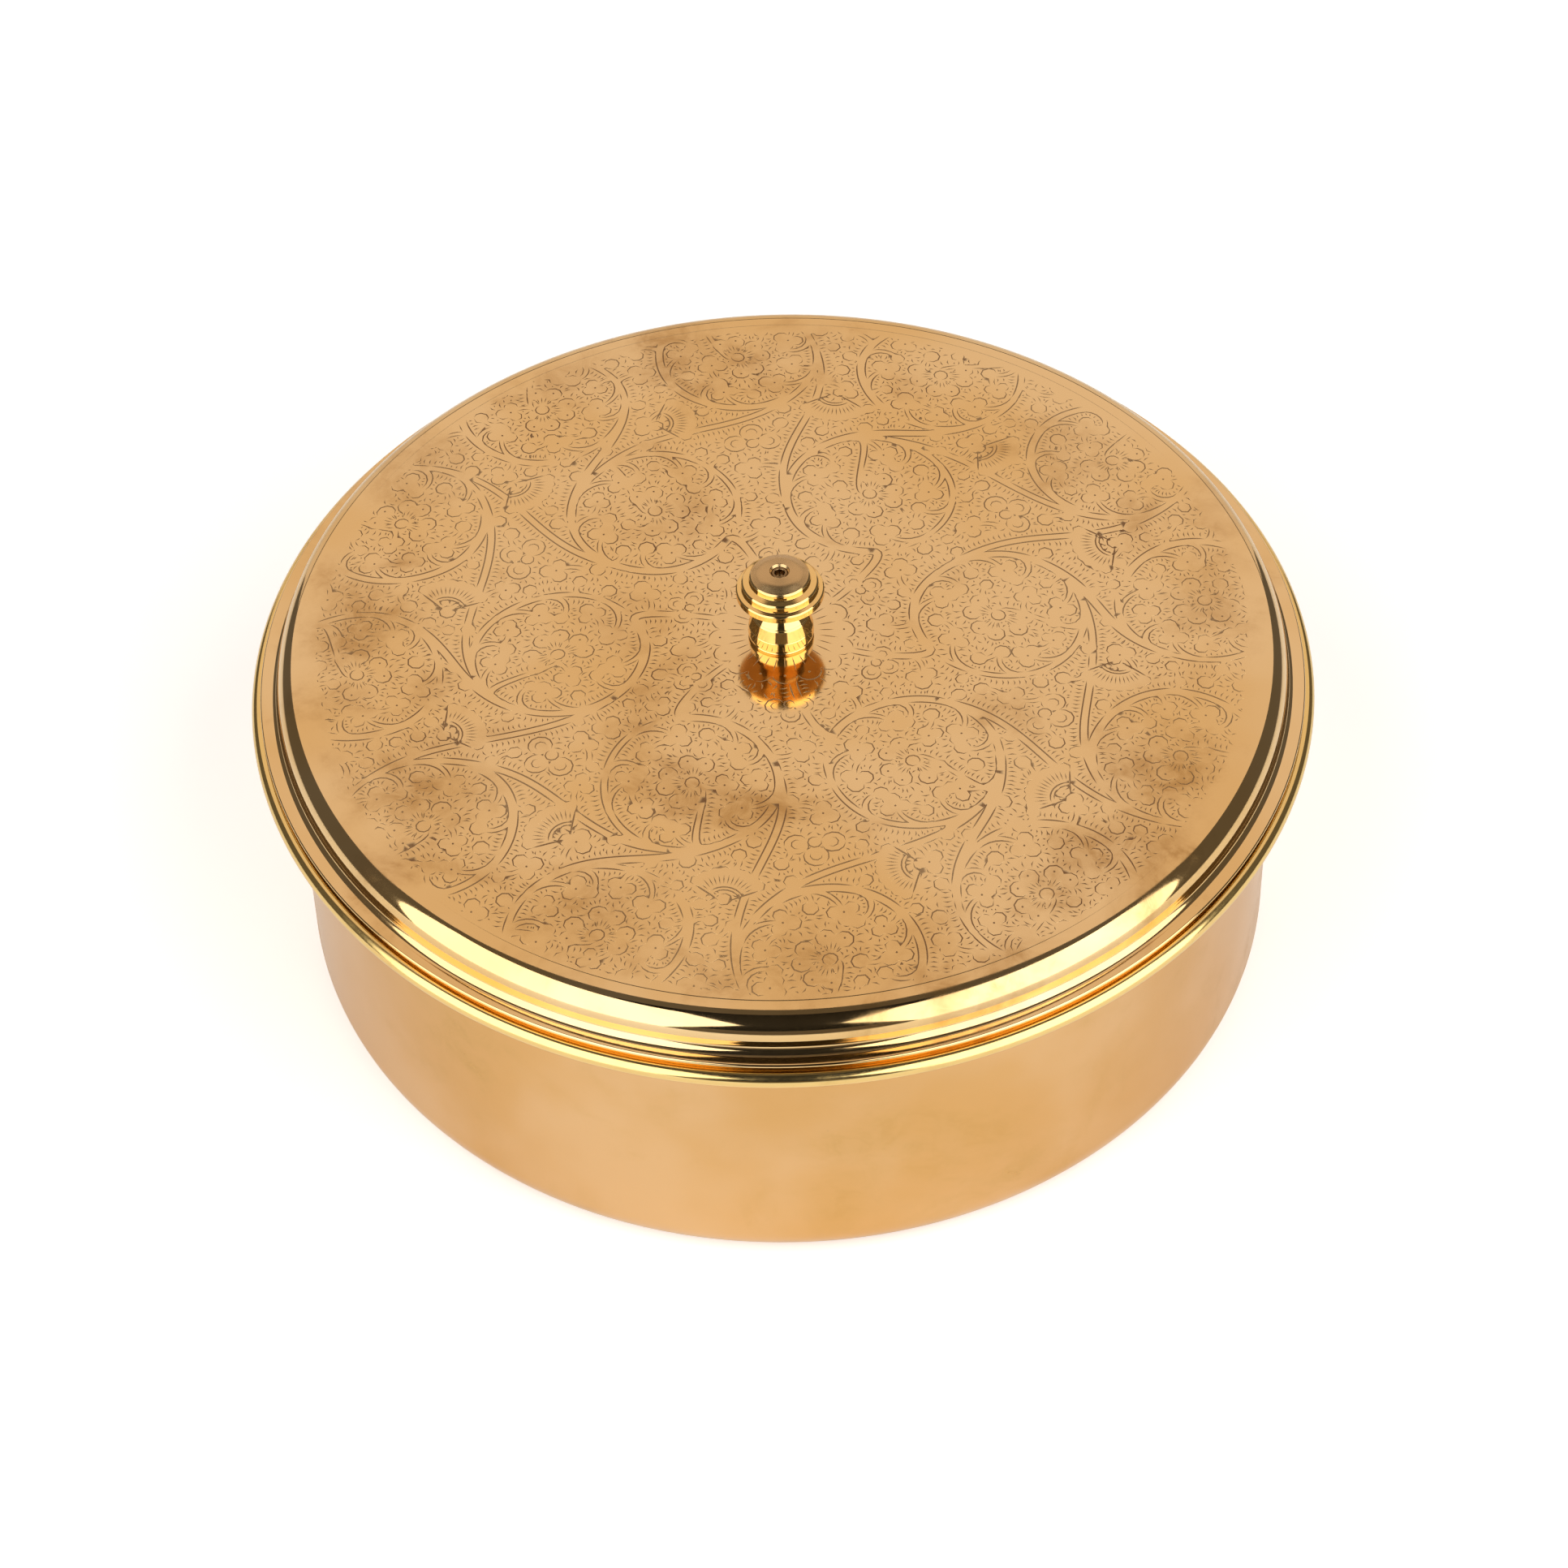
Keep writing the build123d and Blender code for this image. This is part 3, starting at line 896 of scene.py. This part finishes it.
def engravedLid():
    # The turned rim of the lid is open between two circles. The plate between them is a triangulation
    # that has every cut's outline and middle line as edges; the middles are then pressed down.
    turns = lidShape["turns"]
    rim, faces, attributes = turnedGrid(lidPath(), turns, False)
    outerRing = np.arange(turns)
    innerRing = len(rim) - turns + np.arange(turns)
    cuts, depths, cutEdges = engravingCuts()
    rings = np.concatenate([rim[outerRing], rim[innerRing]])[:, :2] / mm
    flat = np.concatenate([rings, np.stack([cuts.real, cuts.imag], 1)])
    circle = np.stack([np.arange(turns), (np.arange(turns) + 1) % turns], 1)
    edges = np.concatenate([circle, circle + turns, cutEdges + 2 * turns])
    made = delaunay_2d_cdt([Vector(spot) for spot in flat.tolist()], edges.tolist(), [], 0, 1e-5)
    spots = np.array([tuple(spot) for spot in made[0]])
    triangles = np.array(made[2])
    oldIds = np.array([group[0] if group else -1 for group in made[3]])
    allDepths = np.concatenate([np.zeros(2 * turns), depths])
    sunk = np.where(oldIds >= 0, allDepths[oldIds], engraving["lineDepth"] * 0.5)
    middles = spots[triangles].mean(1)
    triangles = triangles[np.hypot(*middles.T) > lidShape["plateInner"] / mm]
    onRing = (oldIds >= 0) & (oldIds < 2 * turns)
    target = np.zeros(len(spots), int)
    target[onRing] = np.concatenate([outerRing, innerRing])[oldIds[onRing]]
    target[~onRing] = len(rim) + np.arange((~onRing).sum())
    plateHeights = crownHeight(np.hypot(*spots.T) * mm) - sunk * mm
    plate = np.concatenate([spots * mm, plateHeights[:, None]], 1)[~onRing]
    points = np.concatenate([rim, plate])
    cut = np.zeros(len(points))
    cut[len(rim):] = sunk[~onRing] / engraving["lineDepth"]
    flatEdge = lidHigh.x - lidShape["wallInset"] - lidShape["shoulderRounding"] - lidShape["scribeInset"]
    within = np.hypot(points[:, 0], points[:, 1]) < flatEdge - 0.05 * mm
    satin = within & (points[:, 2] > crownHeight(flatEdge) - 0.3 * mm)
    turned = np.concatenate([attributes["turned"], np.tile([lidHigh.x, lidHigh.z, 0], (len(plate), 1))])
    plateFaces = target[triangles]
    corners = points[plateFaces]
    facing = np.cross(corners[:, 1] - corners[:, 0], corners[:, 2] - corners[:, 0])[:, 2]
    plateFaces[facing < 0] = plateFaces[facing < 0][:, ::-1]
    rimFaces = sum(len(group) for group in faces)
    smooth = np.arange(rimFaces + len(plateFaces)) < rimFaces
    print("spice box: engraving has", len(plateFaces), "plate triangles")
    attributes = {"turned": turned, "cut": cut, "plate": satin * 1.0}
    return putMesh("engravedLid", points, faces + [plateFaces], smooth, attributes)


fit(engravedLid(), "lid", "lid_shell", "lid_brass")
print("spice box: lid engraved")


collarShape = {
    "sheet": 0.75 * mm,
    "bend": 1.5 * mm,
    "slipGap": 0.4 * mm,            # between the skirt and the mouth of the box
    "edge": 0.15 * mm,
    "turns": 256,
}


def lidCollar():
    # An L-shaped ring: a flat seat under the flange and a skirt that hangs inside the mouth.
    low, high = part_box("lid_collar")
    sheet, bend = collarShape["sheet"], collarShape["bend"]
    skirt = rimRadius - boxShape["rimOverhang"] - boxShape["sheet"] - collarShape["slipGap"]
    profile = roundedPath([
        (skirt - sheet, low.z, 0.2 * mm),
        (skirt, low.z, 0.2 * mm),
        (skirt, high.z - sheet, bend),
        (high.x, high.z - sheet, collarShape["edge"]),
        (high.x, high.z, collarShape["edge"]),
        (skirt - sheet, high.z, bend + sheet),
    ], True)
    return turnedPiece("lidCollar", profile, collarShape["turns"])


fit(lidCollar(), "lid", "lid_collar", "lid_brass")


knobShape = {
    "bore": 1.65,                   # everything here is in mm, with heights above the lid
    "steps": [                      # radius, height, rounding
        (6.35, 0, 0), (6.55, 0.25, 0.1), (6.3, 0.42, 0), (6.6, 0.6, 0.1), (6.68, 1.2, 0.5),
        (6.5, 2.95, 0.1), (6.35, 3.05, 0), (6.48, 3.2, 0.1),
        (5.72, 5.65, 0.3), (5.5, 5.8, 0), (5.45, 6.0, 0.1), (4.3, 7.6, 1.2), (4.2, 10.2, 0.6),
        (8.6, 11.25, 0.3), (8.88, 11.55, 0.15), (8.86, 12.8, 0.25), (8.6, 13.0, 0.1), (7.8, 13.2, 0.06),
        (7.72, 14.5, 0.3), (7.4, 14.8, 0.15), (6.2, 15.1, 0.06), (6.1, 16.1, 0.25), (5.8, 16.4, 0.2),
        (4.2, 17.1, 4.0), (2.05, 17.5, 0.25),
    ],
    "holeEdge": 17.0,               # height of the edge of the hole, inside the top
    "turns": 192,
}
rivetShape = {
    "headHeight": 1.4 * mm,
    "shank": 1.6 * mm,
    "recess": 1.0 * mm,
    "recessDepth": 1.6 * mm,
    "turns": 96,
}


def turnedKnob():
    # Barrel with scribed lines, narrow neck and a cap in three steps with a hole. The heights are
    # stretched so that the last one meets the top of the frame's knob.
    low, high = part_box("knob")
    bore = knobShape["bore"]
    stretch = (high.z - low.z) / (knobShape["steps"][-1][1] * mm)
    steps = [(bore, 0, 0)] + knobShape["steps"] + [(bore, knobShape["holeEdge"], 0.1)]
    corners = [(radius * mm, low.z + height * mm * stretch, rounding * mm)
               for radius, height, rounding in steps]
    profile = roundedPath(corners, True, 14, 0.05 * mm)
    return turnedPiece("turnedKnob", profile, knobShape["turns"])


def hollowRivet():
    low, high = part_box("knob_rivet")
    headRadius, headHeight = high.x, rivetShape["headHeight"]
    shank, recess = rivetShape["shank"], rivetShape["recess"]
    recessFloor = high.z - rivetShape["recessDepth"]
    profile = roundedPath([
        (0, low.z, 0),
        (headRadius, low.z, headHeight * 0.7),
        (headRadius, low.z + headHeight, 0),
        (shank, low.z + headHeight, 0),
        (shank, high.z, 0.2 * mm),
        (recess, high.z, 0.2 * mm),
        (recess, recessFloor, 0.2 * mm),
        (0, recessFloor, 0),
    ], False, 12, 0.06 * mm)
    return turnedPiece("hollowRivet", profile, rivetShape["turns"], False)


def rivetWasher():
    low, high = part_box("knob_washer")
    hole = lidShape["hole"]
    profile = roundedPath([
        (hole, low.z, 0.1 * mm),
        (high.x, low.z, 0.2 * mm),
        (high.x, high.z, 0.1 * mm),
        (hole, high.z, 0.1 * mm),
    ], True, 8, 0.06 * mm)
    return turnedPiece("rivetWasher", profile, rivetShape["turns"])


fit(turnedKnob(), "lid", "knob", "knob_brass")
fit(hollowRivet(), "lid", "knob_rivet", "rivet_brass")
fit(rivetWasher(), "lid", "knob_washer", "rivet_brass")
print("spice box: knob turned and riveted")


bowlShape = {
    "sheet": 0.8 * mm,
    "roll": 1.1 * mm,
    "rounding": 9.0 * mm,
    "turns": 128,
}


def spiceBowl(node):
    # A straight cup with a round bottom edge and a small rolled rim, turned about its own axis.
    low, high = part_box(node)
    sheet, roll = bowlShape["sheet"], bowlShape["roll"]
    centre = ((low.x + high.x) / 2, (low.y + high.y) / 2)
    inner = (high.x - low.x) / 2 - 2 * roll
    corners = [
        (inner + sheet, low.z, bowlShape["rounding"]),
        (0, low.z, 0),
        (0, low.z + sheet, 0),
        (inner, low.z + sheet, bowlShape["rounding"] - sheet),
    ]
    profile = rolledPath((inner + roll, high.z - roll), roll, sheet, 180, corners)
    return turnedPiece("spun_" + node, profile, bowlShape["turns"], True, centre)


for body, members in frame["record"]["behaviour"]["bodies"].items():
    if body.startswith("bowl"):
        fit(spiceBowl(members[0]), body, members[0], "bowl_brass")
print("spice box: bowls in place")


spoonShape = {
    "sphere": 11.0 * mm,
    "depth": 5.5 * mm,
    "sheet": 0.9 * mm,
    "length": 68.0 * mm,
    "root": 4.6 * mm,
    "end": 6.4 * mm,
    "tilt": math.radians(38),
    "shift": -15.5 * mm,
}


def spiceSpoon():
    # Parameter u runs from the scoop's tip to the handle's end, v goes round the section: an ellipse-like
    # loop as wide as the outline there and as thick as the sheet. Inside the scoop's circle the loop
    # hangs down to the middle of the sheet: z = rise - sqrt(middle squared - distance squared).
    shape = spoonShape
    rise = shape["sphere"] - shape["depth"]
    scoop = math.sqrt(shape["sphere"] ** 2 - rise ** 2)
    u = np.linspace(0, 1, 260)
    along = -scoop + (shape["length"] + scoop) * (0.5 - 0.5 * np.cos(math.pi * u))
    circle = np.sqrt(np.clip(scoop ** 2 - along ** 2, 0, None))
    handle = 0.5 * (shape["root"] + (shape["end"] - shape["root"]) * np.clip(along / shape["length"], 0, 1))
    tip = shape["end"] * 0.5
    endRound = np.sqrt(np.clip(1 - (np.clip(along - (shape["length"] - tip), 0, tip) / tip) ** 2, 0, 1))
    half = np.where(along > 0, np.maximum(circle, handle * endRound), circle)
    half = np.maximum(half, 1e-9)
    v = np.linspace(0, 2 * math.pi, 48, endpoint=False)
    across = np.sign(np.cos(v)) * np.abs(np.cos(v)) ** 0.55
    thick = np.sign(np.sin(v)) * np.abs(np.sin(v)) ** 0.7
    x = np.repeat(along[:, None], len(v), 1)
    y = half[:, None] * across
    edge = np.minimum(half / (shape["sheet"] * 0.5), 1)[:, None]
    middle = shape["sphere"] - shape["sheet"] / 2
    bowlEdge = math.sqrt(middle ** 2 - (rise + shape["sheet"] / 2) ** 2)
    far = np.minimum(np.hypot(x, y), bowlEdge)
    z = rise - np.sqrt(middle ** 2 - far ** 2) + thick * edge * shape["sheet"] / 2
    tilt = shape["tilt"]
    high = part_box("spice_spoon")[1]
    turnedX = x * math.cos(tilt) - z * math.sin(tilt) + shape["shift"]
    turnedZ = x * math.sin(tilt) + z * math.cos(tilt)
    lift = high.z - turnedZ.max()
    points = np.stack([turnedX, y, turnedZ + lift], -1).reshape(-1, 3)
    ids = np.arange(len(points)).reshape(x.shape)
    here, there = ids[:-1], ids[1:]
    quads = np.stack([here, np.roll(here, -1, 1), np.roll(there, -1, 1), there], -1).reshape(-1, 4)
    caps = [ids[0][None], ids[-1][::-1][None]]
    return putMesh("spiceSpoon", points, [quads] + caps)


fit(spiceSpoon(), "spoon", "spice_spoon", "spoon_brass")
print("spice box: spoon laid in")


studio = {
    "floorSize": 8.0,
    "floorShade": (0.92, 0.92, 0.92, 1),
    "floorGlow": 0.35,                # only straight to the camera
    "room": 0.13,                     # brightness of the room in reflections
    "roomShade": (1.0, 0.86, 0.72, 1),
    "backdrop": 1.0,                  # and behind the box
    # degrees from the camera's side, rise, distance, width, height, brightness, shade
    "softboxes": {
        "left": (-49.0, 33.0, 1.15, 1.35, 1.75, 2.1, (1, 0.98, 0.96)),
        "right": (49.0, 33.0, 1.15, 1.35, 1.75, 2.3, (1, 0.98, 0.96)),
        "back": (180.0, 47.0, 1.5, 2.2, 1.25, 0.74, (1, 0.80, 0.66)),
        "backLow": (180.0, 9.0, 1.6, 2.4, 0.7, 0.66, (1, 0.82, 0.68)),
    },
    "cardRise": 51.0,                 # dark card behind the camera
    "cardDistance": 1.3,
    "cardWidth": 0.95,
    "cardHeight": 1.9,
}
target = Vector((0, 0, boxHigh.z - boxShape["rimRoll"]))


def aimed(azimuth, rise, distance):
    # A place that far from the box, turned azimuth degrees from the camera's side and raised, with its
    # -Z axis pointing at the box.
    turn, up = math.radians(azimuth), math.radians(rise)
    way = Vector((math.sin(turn) * math.cos(up), -math.cos(turn) * math.cos(up), math.sin(up)))
    return Matrix.Translation(target + way * distance) @ way.to_track_quat("Z", "Y").to_matrix().to_4x4()


def plainMaterial(name, colour, roughness):
    material = bpy.data.materials.new(name)
    material.use_nodes = True
    shader = material.node_tree.nodes["Principled BSDF"]
    shader.inputs["Base Color"].default_value = colour
    shader.inputs["Roughness"].default_value = roughness
    return material


def sheetPiece(name, width, height, place, material):
    corners = [Vector((x * width / 2, y * height / 2, 0)) for x, y in ((-1, -1), (1, -1), (1, 1), (-1, 1))]
    mesh = bpy.data.meshes.new(name)
    mesh.from_pydata([place @ corner for corner in corners], [], [(0, 1, 2, 3)])
    sheet = bpy.data.objects.new(name, mesh)
    mesh.materials.append(material)
    bpy.context.scene.collection.objects.link(sheet)
    return sheet


def layFloor():
    place = Matrix.Translation((0, 0, boxLow.z - 0.02 * mm))
    pale = plainMaterial("paleFloor", studio["floorShade"], 0.8)
    tree = pale.node_tree
    shader = tree.nodes["Principled BSDF"]
    shader.inputs["Emission Color"].default_value = (1, 1, 1, 1)
    seen = addNode(tree, "ShaderNodeLightPath").outputs["Is Camera Ray"]
    glow = mathOf(tree, "MULTIPLY", seen, studio["floorGlow"])
    tree.links.new(glow, shader.inputs["Emission Strength"])
    sheetPiece("floor", studio["floorSize"], studio["floorSize"], place, pale)
    black = plainMaterial("blackCard", (0.01, 0.01, 0.01, 1), 0.9)
    behind = aimed(0, studio["cardRise"], studio["cardDistance"])
    card = sheetPiece("darkCard", studio["cardWidth"], studio["cardHeight"], behind, black)
    card.visible_camera = False


def lightRoom():
    world = bpy.data.worlds.new("whiteRoom")
    world.use_nodes = True
    tree = world.node_tree
    seen = addNode(tree, "ShaderNodeLightPath").outputs["Is Camera Ray"]
    wanted = {"Value": seen, "To Min": studio["room"], "To Max": studio["backdrop"]}
    strength = addNode(tree, "ShaderNodeMapRange", wanted).outputs["Result"]
    shade = mixColour(tree, seen, studio["roomShade"], (1, 1, 1, 1))
    tree.links.new(shade, tree.nodes["Background"].inputs["Color"])
    tree.links.new(strength, tree.nodes["Background"].inputs["Strength"])
    bpy.context.scene.world = world
    for name, softboxValues in studio["softboxes"].items():
        azimuth, rise, distance, width, height, bright, shade = softboxValues
        lamp = bpy.data.lights.new("softbox_" + name, "AREA")
        lamp.shape = "RECTANGLE"
        lamp.size, lamp.size_y = width, height
        lamp.energy = bright * math.pi * width * height
        lamp.color = shade
        softbox = bpy.data.objects.new("softbox_" + name, lamp)
        softbox.matrix_world = aimed(azimuth, rise, distance)
        softbox.visible_camera = False
        bpy.context.scene.collection.objects.link(softbox)


view = {
    "distance": 8.6166,               # camera to rim centre, in rim radii
    "elevation": 45.59,
    "pan": 0.017,
    "tilt": -1.369,
    "roll": 1.564,
    "lens": 104.76,
    "sensor": 36.0,
}


def setCamera():
    # The camera looks at the centre of the rim, then is turned a little about its own three axes.
    rise = math.radians(view["elevation"])
    spot = Vector((0, -math.cos(rise), math.sin(rise))) * view["distance"]
    forward = -spot.normalized()
    right = Vector((1, 0, 0))
    up = right.cross(forward)
    tilt = Matrix.Rotation(math.radians(view["tilt"]), 3, right)
    forward, up = tilt @ forward, tilt @ up
    pan = Matrix.Rotation(math.radians(view["pan"]), 3, up)
    forward, right = pan @ forward, pan @ right
    roll = Matrix.Rotation(math.radians(view["roll"]), 3, forward)
    up, right = roll @ up, roll @ right
    lens = bpy.data.cameras.new("mainCamera")
    lens.lens = view["lens"]
    lens.sensor_width = view["sensor"]
    lens.clip_start = 0.01
    lens.clip_end = 50.0
    camera = bpy.data.objects.new("mainCamera", lens)
    turn = Matrix((right, up, -forward)).transposed().to_4x4()
    camera.matrix_world = Matrix.Translation(target + spot * rimRadius) @ turn
    bpy.context.scene.collection.objects.link(camera)
    bpy.context.scene.camera = camera


layFloor()
lightRoom()
setCamera()
bpy.context.scene.view_settings.view_transform = "Standard"
print("spice box: floor, light and camera set")
